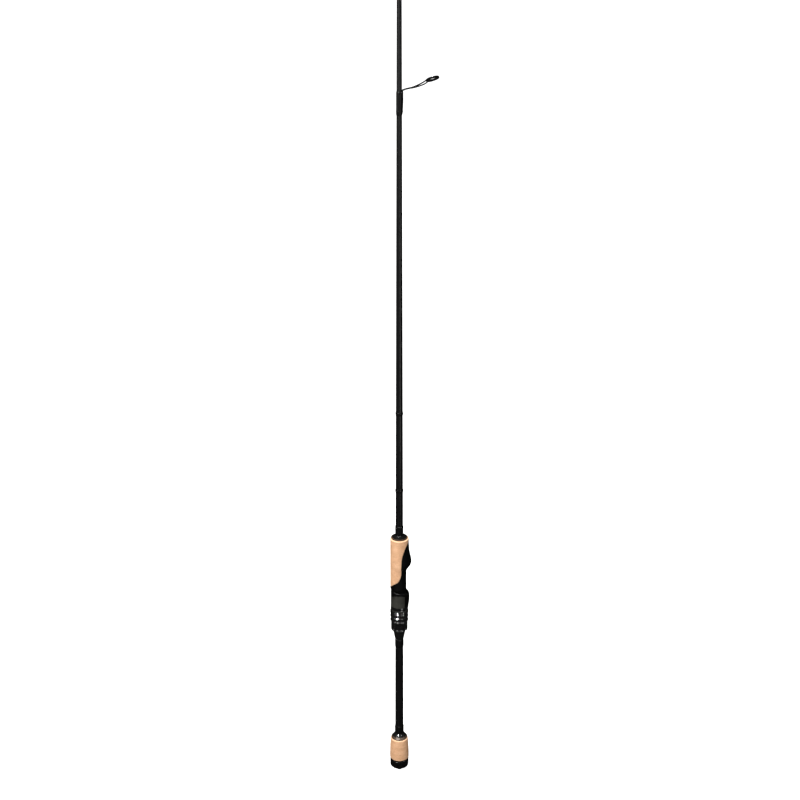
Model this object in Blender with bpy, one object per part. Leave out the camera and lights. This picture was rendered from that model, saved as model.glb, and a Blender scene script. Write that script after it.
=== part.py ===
"""Spinning rod: one-piece blank, split cork grip, sliding-hood reel seat and ringed guides.

The butt end rests at the origin and the rod runs up +Z. The reel foot and the guides face +X.
Lengths are millimetres, and MM turns them into metres where a mesh is made.
"""
import math

import bmesh
import bpy
from mathutils import Matrix, Vector

MM = 0.001
GAP = 0.32                      # clearance between pieces that touch on the real rod

# Blank: outer radius at heights along the rod
BLANK_STATIONS = ((9.8, 5.7), (130.0, 5.5), (400.0, 4.8), (1050.0, 3.0), (2118.0, 0.9))
BLANK_WALL = 1.1
BLANK_BORE_TOP = 1380.0

# Butt grip
PLUG_RADIUS = 2.9
PLUG_SHOULDER = 10.1
PLUG_TOP = 38.0
CAP_BOTTOM = 4.8
CAP_RIM = 8.9
CAP_TOP = 20.3
CAP_RADIUS = 12.4
BUTT_CORK = (20.6, 52.4)
BUTT_CORK_RADII = (12.9, 12.5, 12.3, 11.3)    # bottom, middle, shoulder, top
BUTT_CORK_SHOULDER = 6.0
BUTT_CORK_RINGS = 3
BUTT_BORE = 6.1
BUTT_CHECK_TOP = 60.3
BUTT_CHECK_RADIUS = 11.0

# Reel seat
SEAT_STEPS = 32
REAR_CHECK = (210.4, 224.0)
SEAT = (224.4, 362.6)
SEAT_BORE = 7.5
THREAD_RADIUS = 9.2
THREAD_DEPTH = 0.6
THREAD_PITCH = 2.5
THREAD_TOP = 261.0
BARREL_RADIUS = 9.8
FOOT_FLAT_X = 9.3               # the flat that the reel foot lies on
FOOT_FLAT_END = 314.0
PALM_START = 287.0
PALM_RADIUS = 11.8
PALM_SWELL = 1.2                # height over which the palm side swells from barrel to cork
INLAY_FLOOR = 9.1               # radius of the seat body under the cork
CORK_TOP = 363.0
CORK_ROUNDING = 1.1
ARBOR_STARTS = (("rear", 228.0), ("middle", 291.0), ("front", 341.0))
ARBOR_LENGTH = 15.0
FRONT_CHECK_TOP = 367.8
FRONT_CHECK_RADIUS = 10.8

# Fixed hood on the reel side: (height, radius at +X)
FIXED_HOOD = (
    (313.0, 9.8), (317.5, 10.9), (320.5, 12.4), (323.5, 14.5), (326.5, 15.6),
    (329.5, 15.9), (334.0, 15.4), (338.5, 14.4), (344.0, 13.3), (356.5, 12.4),
)
HOOD_SHARPNESS = 6.0
POCKET_START = 305.0
POCKET_END = 333.0
POCKET_CENTRE_X = 8.4
POCKET_RADIUS = 5.6

# Where the cork ends and the black seat body begins, seen along Y: (x, height)
CORK_EDGE = (
    (-13.0, 291.2), (-11.2, 291.9), (-8.5, 296.0), (-4.75, 299.2), (-2.0, 301.4), (0.3, 304.6),
    (2.0, 309.0), (2.9, 314.0), (2.7, 322.0), (3.2, 333.0), (4.3, 340.0), (6.0, 345.4),
    (8.0, 350.7), (10.0, 354.6), (13.0, 358.0), (19.0, 359.0),
)

# Sliding hood and its nut
NUT = (224.6, 255.8)
NUT_BORE = THREAD_RADIUS + GAP
NUT_SKIRT_RADIUS = 11.0
NUT_RING_SEAT = 10.5            # radius of the nut's front end, under the grip ring
NUT_FLUTES = 12
FLUTE_DEPTH = 0.28
GRIP_RING = (239.0, 255.6)
GRIP_RING_RADIUS = 12.2
GRIP_RING_BEADS = 18
GRIP_RING_GROOVE = 0.4
WASHER = (256.15, 256.95)
WASHER_RADIUS = 10.9
HOOD = (257.3, 286.0)
HOOD_RADIUS = 11.2
HOOD_LIP_RADIUS = 13.4
HOOD_BORE = BARREL_RADIUS + GAP
HOOD_ROOF_X = 12.3
HOOD_POCKET_START = 270.0
HOOD_POCKET_HALF_WIDTH = 4.8
COLLAR_BOTTOM = 262.6
COLLAR_TOP = 276.5
COLLAR_WAVE = 4.3
COLLAR_HALF_OPENING = math.radians(50.0)
COLLAR_DEPTH = 0.45             # how far the collar is let into the hood
COLLAR_PROUD = 0.1
COLLAR_STEPS = 28

# Trim wraps on bare blank: (name, bottom, top)
PLAIN_WRAPS = (
    ("rear_handle_wrap_lower", 60.7, 72.0),
    ("rear_handle_wrap_upper", 198.4, 210.0),
    ("front_handle_wrap", 368.2, 381.0),
    ("trim_wrap_lower", 430.0, 434.5),
    ("trim_wrap_upper", 539.0, 543.5),
)
WRAP_THICKNESS = 0.36

# Guides from butt to tip:
# (ring height on the rod, ring centre from the axis, band radius, foot length, foot thickness)
GUIDES = (
    (969.3, 38.6, 8.15, 27.0, 0.90),
    (1164.0, 24.0, 6.20, 19.0, 0.75),
    (1334.0, 16.0, 5.00, 15.0, 0.65),
    (1499.0, 9.6, 3.90, 12.0, 0.55),
    (1659.0, 8.9, 3.70, 11.0, 0.55),
    (1799.0, 8.3, 3.60, 11.0, 0.50),
    (1924.0, 7.7, 3.50, 10.0, 0.50),
    (2034.0, 7.2, 3.50, 10.0, 0.50),
)
GUIDE_TILT = math.radians(16.0)
GUIDE_RISE = 0.345              # how far the ring stands tipward of the foot, per unit of height
STEM_PART = 0.3                 # share of the height where one stem splits into two arms
ARM_HOLD = math.radians(50.0)   # where an arm meets the band, from its side nearest the blank
TIP_RING_Z = 2129.0
TIP_RING_X = 3.6
TIP_RING_RADIUS = 3.5
TIP_TILT = math.radians(38.0)
TIP_TUBE = (2102.0, 2119.2)


def clear_scene():
    for item in list(bpy.data.objects):
        bpy.data.objects.remove(item, do_unlink=True)


def material(name, colour, roughness, metallic=0.0):
    made = bpy.data.materials.new(name)
    made.use_nodes = True
    shader = made.node_tree.nodes["Principled BSDF"]
    shader.inputs["Base Color"].default_value = (*colour, 1.0)
    shader.inputs["Roughness"].default_value = roughness
    shader.inputs["Metallic"].default_value = metallic
    made.diffuse_color = (*colour, 1.0)
    return made


def interpolate(stations, height):
    """Value at a height along a list of (height, value) stations."""
    if height <= stations[0][0]:
        return stations[0][1]
    for (low, start), (high, end) in zip(stations, stations[1:]):
        if height <= high:
            return start + (end - start) * (height - low) / (high - low)
    return stations[-1][1]


def blank_radius(height):
    return interpolate(BLANK_STATIONS, height)


def angles(steps):
    return [2.0 * math.pi * i / steps for i in range(steps)]


def polar(radius, angle, height):
    return Vector((radius * math.cos(angle), radius * math.sin(angle), height))


def round_ring(radius, height, steps):
    return [polar(radius, angle, height) for angle in angles(steps)]


def add_object(name, mesh_data, surface):
    """Make an object of a bmesh whose sizes are millimetres."""
    bmesh.ops.scale(mesh_data, vec=(MM, MM, MM), verts=mesh_data.verts)
    bmesh.ops.recalc_face_normals(mesh_data, faces=mesh_data.faces)
    mesh = bpy.data.meshes.new(name)
    mesh_data.to_mesh(mesh)
    mesh_data.free()
    mesh.shade_smooth()
    mesh.set_sharp_from_angle(angle=math.radians(35.0))
    mesh.materials.append(surface)
    made = bpy.data.objects.new(name, mesh)
    bpy.context.collection.objects.link(made)
    return made


def lofted(name, rings, surface, closed_round=False):
    """Join rings of points: end to end with caps, or round a bore when closed_round is set."""
    mesh_data = bmesh.new()
    loops = [[mesh_data.verts.new(point) for point in ring] for ring in rings]
    pairs = list(zip(loops, loops[1:]))
    if closed_round:
        pairs.append((loops[-1], loops[0]))
    for lower, upper in pairs:
        count = len(lower)
        for i in range(count):
            j = (i + 1) % count
            mesh_data.faces.new((lower[i], lower[j], upper[j], upper[i]))
    if not closed_round:
        mesh_data.faces.new(loops[0][::-1])
        mesh_data.faces.new(loops[-1])
    return add_object(name, mesh_data, surface)


def turned(name, outline, surface, steps=24):
    """Spin an outline of (radius, height) points round Z; one that touches the axis has no bore."""
    mesh_data = bmesh.new()
    points = [mesh_data.verts.new((radius, 0.0, height)) for radius, height in outline]
    lines = [mesh_data.edges.new(pair) for pair in zip(points, points[1:])]
    if outline[0][0] > 0.0:
        lines.append(mesh_data.edges.new((points[-1], points[0])))
    bmesh.ops.spin(
        mesh_data, geom=points + lines, cent=(0.0, 0.0, 0.0), axis=(0.0, 0.0, 1.0),
        angle=2.0 * math.pi, steps=steps, use_merge=True, use_duplicate=False,
    )
    bmesh.ops.remove_doubles(mesh_data, verts=mesh_data.verts, dist=0.0001)
    return add_object(name, mesh_data, surface)


def swept(name, centres, radii, sides, surface, flatness=1.0):
    """A round or flattened bar along a path; flatness squeezes it across Y."""
    rings = []
    for i, centre in enumerate(centres):
        before = centres[max(i - 1, 0)]
        after = centres[min(i + 1, len(centres) - 1)]
        along = (after - before).normalized()
        side = Vector((0.0, 1.0, 0.0))
        side = (side - along * side.dot(along)).normalized()
        up = along.cross(side)
        rings.append([
            centre + radii[i] * (math.cos(a) * up + flatness * math.sin(a) * side)
            for a in angles(sides)
        ])
    return lofted(name, rings, surface)


def boolean(target, other, operation):
    """Cut or join with another object, keep the result as the target's mesh and drop the other."""
    change = target.modifiers.new(operation.lower(), "BOOLEAN")
    change.operation = operation
    change.solver = "EXACT"
    change.object = other
    shown = target.evaluated_get(bpy.context.evaluated_depsgraph_get())
    mesh = bpy.data.meshes.new_from_object(shown)
    target.modifiers.clear()
    target.data = mesh
    bpy.data.objects.remove(other, do_unlink=True)


def prism_across(name, outline, half_width, surface):
    """An outline of (x, height) points extruded along Y, both ways from the middle."""
    sides = [[Vector((x, y, z)) for x, z in outline] for y in (-half_width, half_width)]
    return lofted(name, sides, surface)


# ---- Blank and butt grip -------------------------------------------------------------------

def make_blank(surface):
    outline = [(radius, height) for height, radius in BLANK_STATIONS]
    outline.append((0.0, BLANK_STATIONS[-1][0]))
    bore = [(0.0, BLANK_BORE_TOP)]
    for height in (BLANK_BORE_TOP, 400.0, BLANK_STATIONS[0][0]):
        bore.append((blank_radius(height) - BLANK_WALL, height))
    turned("blank", outline[::-1] + bore[:0:-1] + bore[:1], surface, 20)


def make_butt(cork, rubber, metal):
    plug_bore = blank_radius(PLUG_TOP) - BLANK_WALL - GAP
    plug = [
        (0.0, 0.0), (PLUG_RADIUS - 0.4, 0.0), (PLUG_RADIUS, 0.4), (PLUG_RADIUS, PLUG_SHOULDER),
        (plug_bore, PLUG_SHOULDER), (plug_bore, PLUG_TOP), (0.0, PLUG_TOP),
    ]
    turned("butt_weight_plug", plug, metal, 20)

    floor_top = BLANK_STATIONS[0][0] - GAP
    hole = PLUG_RADIUS + GAP
    dome = [(hole, CAP_BOTTOM)]
    for step in range(1, 6):
        turn = 0.5 * math.pi * step / 5
        reach = hole + (CAP_RADIUS - hole) * math.sin(turn)
        dome.append((reach, CAP_RIM - (CAP_RIM - CAP_BOTTOM) * math.cos(turn)))
    cap = dome + [
        (CAP_RADIUS + 0.1, CAP_TOP), (BUTT_BORE, CAP_TOP), (BUTT_BORE, floor_top),
        (hole, floor_top),
    ]
    turned("butt_cap", cap, rubber, 24)

    low, high = BUTT_CORK
    bottom, middle, shoulder, top = BUTT_CORK_RADII
    belly = (
        (low, bottom), (0.5 * (low + high), middle), (high - BUTT_CORK_SHOULDER, shoulder),
        (high, top),
    )
    height = (high - low - (BUTT_CORK_RINGS - 1) * GAP) / BUTT_CORK_RINGS
    for index in range(BUTT_CORK_RINGS):
        start = low + index * (height + GAP)
        outline = [(BUTT_BORE, start)]
        for share in (0.0, 0.5, 1.0):
            level = start + share * height
            outline.append((interpolate(belly, level), level))
        outline.append((BUTT_BORE, start + height))
        turned(f"butt_cork_ring_{index + 1}", outline, cork, 24)

    base = high + GAP
    bore = blank_radius(base) + GAP
    check = [
        (bore, base), (BUTT_CHECK_RADIUS, base), (BUTT_CHECK_RADIUS, base + 1.2),
        (9.2, base + 3.0), (7.4, base + 5.2), (bore + 0.4, BUTT_CHECK_TOP),
        (bore, BUTT_CHECK_TOP),
    ]
    turned("butt_grip_check", check, metal, 24)


def make_plain_wraps(thread):
    for name, low, high in PLAIN_WRAPS:
        inner = blank_radius(low) + GAP
        outer = inner + WRAP_THICKNESS
        outline = [
            (inner, low), (outer - 0.2, low), (outer, low + 0.8), (outer, high - 0.8),
            (outer - 0.2, high), (inner, high),
        ]
        turned(name, outline, thread, 20)


# ---- Reel seat -----------------------------------------------------------------------------

def seat_radius(angle, height):
    """Outer radius of the assembled seat, cork included, at an angle from the reel side."""
    toward_reel = 0.5 * (1.0 + math.cos(angle))
    if height < PALM_START:
        return BARREL_RADIUS
    swell = min(1.0, (height - PALM_START) / PALM_SWELL)
    palm = BARREL_RADIUS + swell * (PALM_RADIUS - BARREL_RADIUS)
    if height < FIXED_HOOD[0][0]:
        return palm + (BARREL_RADIUS - palm) * toward_reel
    toward_hood = (height - FIXED_HOOD[0][0]) / (FIXED_HOOD[3][0] - FIXED_HOOD[0][0])
    blend = min(1.0, max(0.0, toward_hood))
    plain = palm + (BARREL_RADIUS - palm) * toward_reel * (1.0 - blend)
    hood = interpolate(FIXED_HOOD, height)
    return plain + max(0.0, hood - plain) * toward_reel ** HOOD_SHARPNESS


def seat_rings(heights, steps):
    return [
        [polar(seat_radius(angle, height), angle, height) for angle in angles(steps)]
        for height in heights
    ]


def keep_cork_side(piece, shift, surface):
    """Keep the part that lies on the cork's side of the edge, moved off it by a shift."""
    far = 30.0
    edge = [(x + shift, z - shift) for x, z in CORK_EDGE]
    region = edge + [(far, edge[-1][1]), (far, 380.0), (-far, 380.0), (-far, edge[0][1])]
    boolean(piece, prism_across("cork_side", region, far, surface), "INTERSECT")


def make_seat_body(plastic):
    steps = SEAT_STEPS
    low, high = SEAT
    rings = []
    threads = int((THREAD_TOP - low) / THREAD_PITCH)
    for index in range(threads):
        crest = low + index * THREAD_PITCH
        rings.append(round_ring(THREAD_RADIUS, crest, steps))
        rings.append(round_ring(THREAD_RADIUS - THREAD_DEPTH, crest + 0.6 * THREAD_PITCH, steps))
    top_thread = low + threads * THREAD_PITCH
    rings.append(round_ring(THREAD_RADIUS, top_thread, steps))
    rings.append(round_ring(BARREL_RADIUS, top_thread + 0.8, steps))
    hood_levels = [height for height, _ in FIXED_HOOD]
    levels = [PALM_START, PALM_START + PALM_SWELL, 300.0] + hood_levels + [high]
    rings += seat_rings(levels, steps)
    rings += [round_ring(SEAT_BORE, high, steps), round_ring(SEAT_BORE, low, steps)]
    body = lofted("reel_seat_body", rings, plastic, closed_round=True)

    start = top_thread + 1.5
    flat = [(FOOT_FLAT_X, start), (14.0, start), (14.0, FOOT_FLAT_END), (FOOT_FLAT_X, FOOT_FLAT_END)]
    boolean(body, prism_across("foot_flat", flat, 12.0, plastic), "DIFFERENCE")

    opening = math.acos((FOOT_FLAT_X - POCKET_CENTRE_X) / POCKET_RADIUS)
    arch = []
    for index in range(13):
        turn = opening * (1.0 - index / 6.0)
        reach = POCKET_RADIUS * math.cos(turn)
        arch.append((POCKET_CENTRE_X + reach, POCKET_RADIUS * math.sin(turn)))
    ends = [[Vector((x, y, z)) for x, y in arch] for z in (POCKET_START, POCKET_END)]
    boolean(body, lofted("foot_pocket", ends, plastic), "DIFFERENCE")

    inlay = lofted("inlay", [
        round_ring(22.0, 280.0, steps), round_ring(22.0, 370.0, steps),
        round_ring(INLAY_FLOOR, 370.0, steps), round_ring(INLAY_FLOOR, 280.0, steps),
    ], plastic, closed_round=True)
    keep_cork_side(inlay, 0.7 * GAP, plastic)
    boolean(body, inlay, "DIFFERENCE")


def make_seat_cork(cork):
    steps = SEAT_STEPS
    inner = INLAY_FLOOR + GAP
    hood_levels = [height for height, _ in FIXED_HOOD]
    rings = seat_rings([PALM_START, 300.0] + hood_levels + [CORK_TOP - 1.5 * CORK_ROUNDING], steps)
    rings.append([
        polar(seat_radius(angle, CORK_TOP) - CORK_ROUNDING, angle, CORK_TOP)
        for angle in angles(steps)
    ])
    rings += [round_ring(inner, CORK_TOP, steps), round_ring(inner, PALM_START, steps)]
    made = lofted("seat_cork_inlay", rings, cork, closed_round=True)
    keep_cork_side(made, -0.7 * GAP, cork)


def make_seat_fittings(metal, foam):
    low, high = REAR_CHECK
    bore = blank_radius(low) + GAP
    rear = [
        (bore, low), (bore + 0.4, low), (7.0, low + 6.3), (7.9, low + 11.3), (8.3, high),
        (bore, high),
    ]
    turned("rear_seat_check", rear, metal, 20)

    base = CORK_TOP + GAP
    bore = blank_radius(base) + GAP
    front = [
        (bore, base), (FRONT_CHECK_RADIUS, base), (FRONT_CHECK_RADIUS - 0.2, base + 0.8),
        (8.6, base + 2.2), (6.6, base + 3.6), (bore + 0.5, FRONT_CHECK_TOP),
        (bore, FRONT_CHECK_TOP),
    ]
    turned("front_winding_check", front, metal, 24)

    outer = SEAT_BORE - GAP
    for place, start in ARBOR_STARTS:
        end = start + ARBOR_LENGTH
        bore = blank_radius(start) + GAP
        arbor = [(bore, start), (outer, start), (outer, end), (bore, end)]
        turned(f"seat_arbor_{place}", arbor, foam, 20)


# ---- Sliding hood and nut ------------------------------------------------------------------

def hood_ring(share, steps):
    """One ring of the sliding hood's outside, from its rear end (0) to its mouth (1)."""
    low, high = HOOD
    profile = ((0.0, 0.0), (0.35, 0.75), (0.55, 1.0), (0.8, 1.0), (0.92, 0.75), (1.0, 0.3))
    points = []
    for angle in angles(steps):
        mouth = high - 1.5 * (1.0 + math.cos(angle))
        height = low + share * (mouth - low)
        bulge = interpolate(profile, share) * (0.5 * (1.0 + math.cos(angle))) ** HOOD_SHARPNESS
        radius = HOOD_RADIUS + bulge * (HOOD_LIP_RADIUS - HOOD_RADIUS)
        points.append(polar(radius, angle, height))
    return points


def collar_height(angle):
    return COLLAR_TOP + COLLAR_WAVE * math.sin(angle) ** 2


def collar_sections(low, rise, outer, inner, widen):
    """Cross-sections of a sleeve open on the reel side, with a waved front edge."""
    arc = 2.0 * (math.pi - COLLAR_HALF_OPENING + widen)
    sections = []
    for i in range(COLLAR_STEPS + 1):
        angle = COLLAR_HALF_OPENING - widen + arc * i / COLLAR_STEPS
        top = collar_height(angle) + rise
        sections.append([
            polar(outer, angle, low), polar(outer, angle, top),
            polar(inner, angle, top), polar(inner, angle, low),
        ])
    return sections


def make_collar(metal):
    outer = HOOD_RADIUS + COLLAR_PROUD
    sections = collar_sections(COLLAR_BOTTOM, 0.0, outer, HOOD_RADIUS - COLLAR_DEPTH, 0.0)
    lofted("hood_collar", sections, metal)


def make_hood(plastic):
    steps = SEAT_STEPS
    shares = (0.0, 0.15, 0.35, 0.55, 0.8, 0.92, 1.0)
    rings = [hood_ring(share, steps) for share in shares]
    mouth = [polar(HOOD_BORE, math.atan2(p.y, p.x), p.z) for p in rings[-1]]
    rings += [mouth, round_ring(HOOD_BORE, HOOD[0], steps)]
    hood = lofted("moving_hood", rings, plastic, closed_round=True)

    floor = FOOT_FLAT_X - 1.0
    beyond = HOOD[1] + 6.0
    roof = [
        (floor, HOOD_POCKET_START), (HOOD_ROOF_X - 0.9, HOOD_POCKET_START),
        (HOOD_ROOF_X, beyond), (floor, beyond),
    ]
    boolean(hood, prism_across("hood_pocket", roof, HOOD_POCKET_HALF_WIDTH, plastic), "DIFFERENCE")

    inner = HOOD_RADIUS - COLLAR_DEPTH - GAP
    recess = collar_sections(COLLAR_BOTTOM - GAP, GAP, 14.0, inner, 0.03)
    boolean(hood, lofted("collar_recess", recess, plastic), "DIFFERENCE")


def make_washer(metal):
    low, high = WASHER
    washer = [(NUT_BORE, low), (WASHER_RADIUS, low), (WASHER_RADIUS, high), (NUT_BORE, high)]
    turned("nut_thrust_washer", washer, metal, 24)


def make_nut(plastic, metal):
    """The nut's fluted skirt with a beaded grip ring pressed round its front."""
    low, high = NUT
    ring_low, ring_high = GRIP_RING
    steps = NUT_FLUTES * 3
    rings = []
    fluted_top = ring_low - low + 0.5
    for rise, inset in ((0.0, 1.0), (1.0, 0.25), (2.4, 0.0), (fluted_top - 0.9, 0.0)):
        flute = 0.0 if rise < 1.0 else FLUTE_DEPTH
        points = []
        for angle in angles(steps):
            groove = flute * (0.5 - 0.5 * math.cos(NUT_FLUTES * angle))
            points.append(polar(NUT_SKIRT_RADIUS - inset - groove, angle, low + rise))
        rings.append(points)
    rings += [
        round_ring(NUT_RING_SEAT, ring_low - GAP, steps), round_ring(NUT_RING_SEAT, high, steps),
        round_ring(NUT_BORE, high, steps), round_ring(NUT_BORE, low, steps),
    ]
    lofted("locking_nut", rings, plastic, closed_round=True)

    steps = GRIP_RING_BEADS * 2
    outer = []
    ends = ((ring_low, 0.6), (ring_low + 1.0, 0.0), (ring_high - 1.0, 0.0), (ring_high, 0.6))
    for level, inset in ends:
        outer.append([
            polar(GRIP_RING_RADIUS - inset - (GRIP_RING_GROOVE if i % 2 else 0.0), angle, level)
            for i, angle in enumerate(angles(steps))
        ])
    inner = NUT_RING_SEAT + GAP
    outer += [round_ring(inner, ring_high, steps), round_ring(inner, ring_low, steps)]
    lofted("nut_grip_ring", outer, metal, closed_round=True)


# ---- Guides --------------------------------------------------------------------------------

def ring_place(x, height, tilt):
    return Matrix.Translation((x * MM, 0.0, height * MM)) @ Matrix.Rotation(-tilt, 4, "Y")


def make_ring(prefix, band_radius, x, height, tilt, frame_metal, ceramic):
    """A metal band and the ceramic ring inside it, both round the line's path."""
    wall = 0.45 + 0.04 * band_radius
    deep = 0.35 + 0.09 * band_radius
    band_inner = band_radius - wall
    steps = 20 if band_radius > 7.0 else 14
    band_outline = [
        (band_inner, -deep), (band_radius, -deep), (band_radius, deep), (band_inner, deep),
    ]
    band = turned(f"{prefix}_frame", band_outline, frame_metal, steps)

    outer = band_inner - GAP
    thick = 0.3 + 0.19 * band_radius
    inner = outer - thick
    middle = 0.5 * (outer + inner)
    bulge = deep + 0.35
    lip = [
        (inner, 0.0), (middle - 0.35 * thick, -0.75 * bulge), (middle, -bulge),
        (outer, -0.7 * bulge), (outer, 0.7 * bulge), (middle, bulge),
        (middle - 0.35 * thick, 0.75 * bulge),
    ]
    ring = turned(f"{prefix}_ring", lip, ceramic, steps)
    for piece in (band, ring):
        piece.data.transform(ring_place(x, height, tilt))
    return band


def foot_bar(low, high, inner, thickness, half_width, surface):
    """A guide foot: a strip along the blank that thins towards its toe."""
    rings = []
    shoulder = low + 0.45 * (high - low)
    for height, share, wide in ((low, 0.35, 0.45), (shoulder, 1.0, 0.9), (high, 1.0, 1.0)):
        top = inner + share * thickness
        reach = wide * half_width
        rings.append([
            Vector((inner, -reach, height)), Vector((top, -reach, height)),
            Vector((top, reach, height)), Vector((inner, reach, height)),
        ])
    return lofted("foot", rings, surface)


def tunnel_outline(circle, top_x, half_width):
    """Taut outline round the blank and a foot on its +X side, as (angle, radius) pairs."""
    corner = math.atan2(half_width, top_x)
    reach = math.hypot(half_width, top_x)
    tangent = corner + math.acos(circle / reach)
    flat = [(-corner, reach), (0.0, top_x), (corner, reach)]
    arc_steps = 14
    arc = 2.0 * (math.pi - tangent)
    return flat + [(tangent + arc * i / arc_steps, circle) for i in range(arc_steps + 1)]


def guide_wrap(name, low, high, foot_x, half_width, thread):
    """Thread round the blank and the guide's foot, with a tunnel for the foot."""
    outline = tunnel_outline(blank_radius(low) + GAP, foot_x + GAP, half_width + GAP)
    outside = []
    inside = []
    for height, thin in ((low, 0.16), (low + 1.2, 0.0), (high - 1.2, 0.0), (high, 0.16)):
        grow = WRAP_THICKNESS - thin
        outside.append([polar(radius + grow, angle, height) for angle, radius in outline])
    for height in (high, low):
        inside.append([polar(radius, angle, height) for angle, radius in outline])
    return lofted(name, outside + inside, thread, closed_round=True)


def make_guide(number, spec, frame_metal, ceramic, thread):
    ring_z, ring_x, band_radius, foot_length, thickness = spec
    prefix = f"guide_{number}"
    frame = make_ring(prefix, band_radius, ring_x, ring_z, GUIDE_TILT, frame_metal, ceramic)

    foot_high = ring_z - GUIDE_RISE * ring_x
    foot_low = foot_high - foot_length
    inner = blank_radius(foot_low) + GAP
    half_width = 0.7 + 0.035 * ring_x
    foot = foot_bar(foot_low, foot_high, inner, thickness, half_width, frame_metal)

    wire = 0.42 + 0.016 * ring_x
    start = Vector((inner + 0.5 * thickness, 0.0, foot_high - 0.6))
    split_x = inner + STEM_PART * (ring_x - inner - 0.4 * band_radius)
    split_z = foot_high + 0.25 * (split_x - inner)
    stem_path = [
        start, Vector((inner + 2.0 * wire, 0.0, foot_high + 0.25)),
        Vector((0.5 * (inner + split_x), 0.0, 0.5 * (foot_high + split_z))),
        Vector((split_x + wire, 0.0, split_z + 0.3)),
    ]
    stem = swept("stem", stem_path, [0.45 * thickness, wire, wire, wire], 6, frame_metal, 1.5)
    pieces = [foot, stem]
    reach = band_radius + 0.12 * wire
    end_x = ring_x - reach * math.cos(ARM_HOLD) * math.cos(GUIDE_TILT)
    end_z = ring_z - reach * math.cos(ARM_HOLD) * math.sin(GUIDE_TILT)
    end_y = reach * math.sin(ARM_HOLD)
    for side in (-1.0, 1.0):
        path = [
            Vector((split_x - 0.4 * wire, side * 0.25 * wire, split_z - 0.1)),
            Vector((0.5 * (split_x + end_x), side * 0.68 * end_y,
                    0.65 * split_z + 0.35 * end_z)),
            Vector((end_x, side * end_y, end_z)),
        ]
        pieces.append(swept("arm", path, [0.65 * wire] * len(path), 6, frame_metal))
    for piece in pieces:
        boolean(frame, piece, "UNION")

    foot_x = inner + thickness
    guide_wrap(f"{prefix}_wrap", foot_low - 3.0, foot_high - 1.4, foot_x, half_width, thread)


def make_tip_top(frame_metal, ceramic, thread):
    frame = make_ring(
        "tip_top", TIP_RING_RADIUS, TIP_RING_X, TIP_RING_Z, TIP_TILT, frame_metal, ceramic,
    )
    low, high = TIP_TUBE
    bore = blank_radius(low) + GAP
    tube = [
        (0.0, high + 0.8), (1.2, high + 0.5), (bore + 0.4, high - 1.0), (bore + 0.4, low),
        (bore, low), (bore, high - 0.6), (0.0, high - 0.6),
    ]
    pieces = [turned("tube", tube[::-1], frame_metal, 16)]
    for side in (-1.0, 1.0):
        path = [
            Vector((0.2, side * 1.85, high - 5.0)), Vector((0.9, side * 2.5, high - 0.5)),
            Vector((TIP_RING_X - 0.2, side * (TIP_RING_RADIUS + 0.15), TIP_RING_Z)),
        ]
        pieces.append(swept("arm", path, [0.42, 0.48, 0.45], 6, frame_metal))
    pieces.append(swept("bridge", [
        Vector((0.2, 0.0, high + 0.1)), Vector((0.4, 0.0, high + 3.5)),
        Vector((TIP_RING_X - TIP_RING_RADIUS * math.cos(TIP_TILT), 0.0,
                TIP_RING_Z - TIP_RING_RADIUS * math.sin(TIP_TILT) - 0.1)),
    ], [0.5, 0.5, 0.5], 6, frame_metal))
    for piece in pieces:
        boolean(frame, piece, "UNION")

    inner = bore + 0.4 + GAP
    wrap = [
        (inner, low + 1.0), (inner + 0.2, low + 1.0), (inner + 0.35, low + 1.8),
        (inner + 0.35, low + 7.2), (inner + 0.2, low + 8.0), (inner, low + 8.0),
    ]
    turned("tip_top_wrap", wrap, thread, 16)


def main():
    clear_scene()
    cork = material("cork", (0.73, 0.46, 0.27), 0.75)
    rubber = material("butt_rubber", (0.012, 0.012, 0.013), 0.45)
    plastic = material("seat_black", (0.012, 0.012, 0.013), 0.38)
    carbon = material("blank_black", (0.02, 0.02, 0.022), 0.25)
    thread = material("wrap_black", (0.01, 0.01, 0.01), 0.15)
    check_metal = material("check_black", (0.02, 0.02, 0.02), 0.22, 0.6)
    collar_metal = material("collar_grey", (0.08, 0.08, 0.075), 0.4, 0.5)
    frame_metal = material("frame_dark", (0.05, 0.05, 0.055), 0.25, 0.9)
    ceramic = material("ring_black", (0.01, 0.01, 0.01), 0.08)
    foam = material("arbor_foam", (0.25, 0.25, 0.24), 0.8)

    make_blank(carbon)
    make_butt(cork, rubber, check_metal)
    make_plain_wraps(thread)
    make_seat_body(plastic)
    make_seat_cork(cork)
    make_seat_fittings(check_metal, foam)
    make_hood(plastic)
    make_collar(collar_metal)
    make_washer(collar_metal)
    make_nut(plastic, check_metal)
    for number, spec in enumerate(GUIDES, 1):
        make_guide(number, spec, frame_metal, ceramic, thread)
    make_tip_top(frame_metal, ceramic, thread)


main()
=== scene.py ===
"""Looks of the spinning rod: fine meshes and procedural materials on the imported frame.

Shapes are worked out in millimetres, in the frame's own axes: +Z runs up the rod, and +X is the
side of the reel and the guides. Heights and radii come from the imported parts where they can.
"""
import math

import bmesh
import bpy
from mathutils import Matrix, Vector, kdtree


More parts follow.
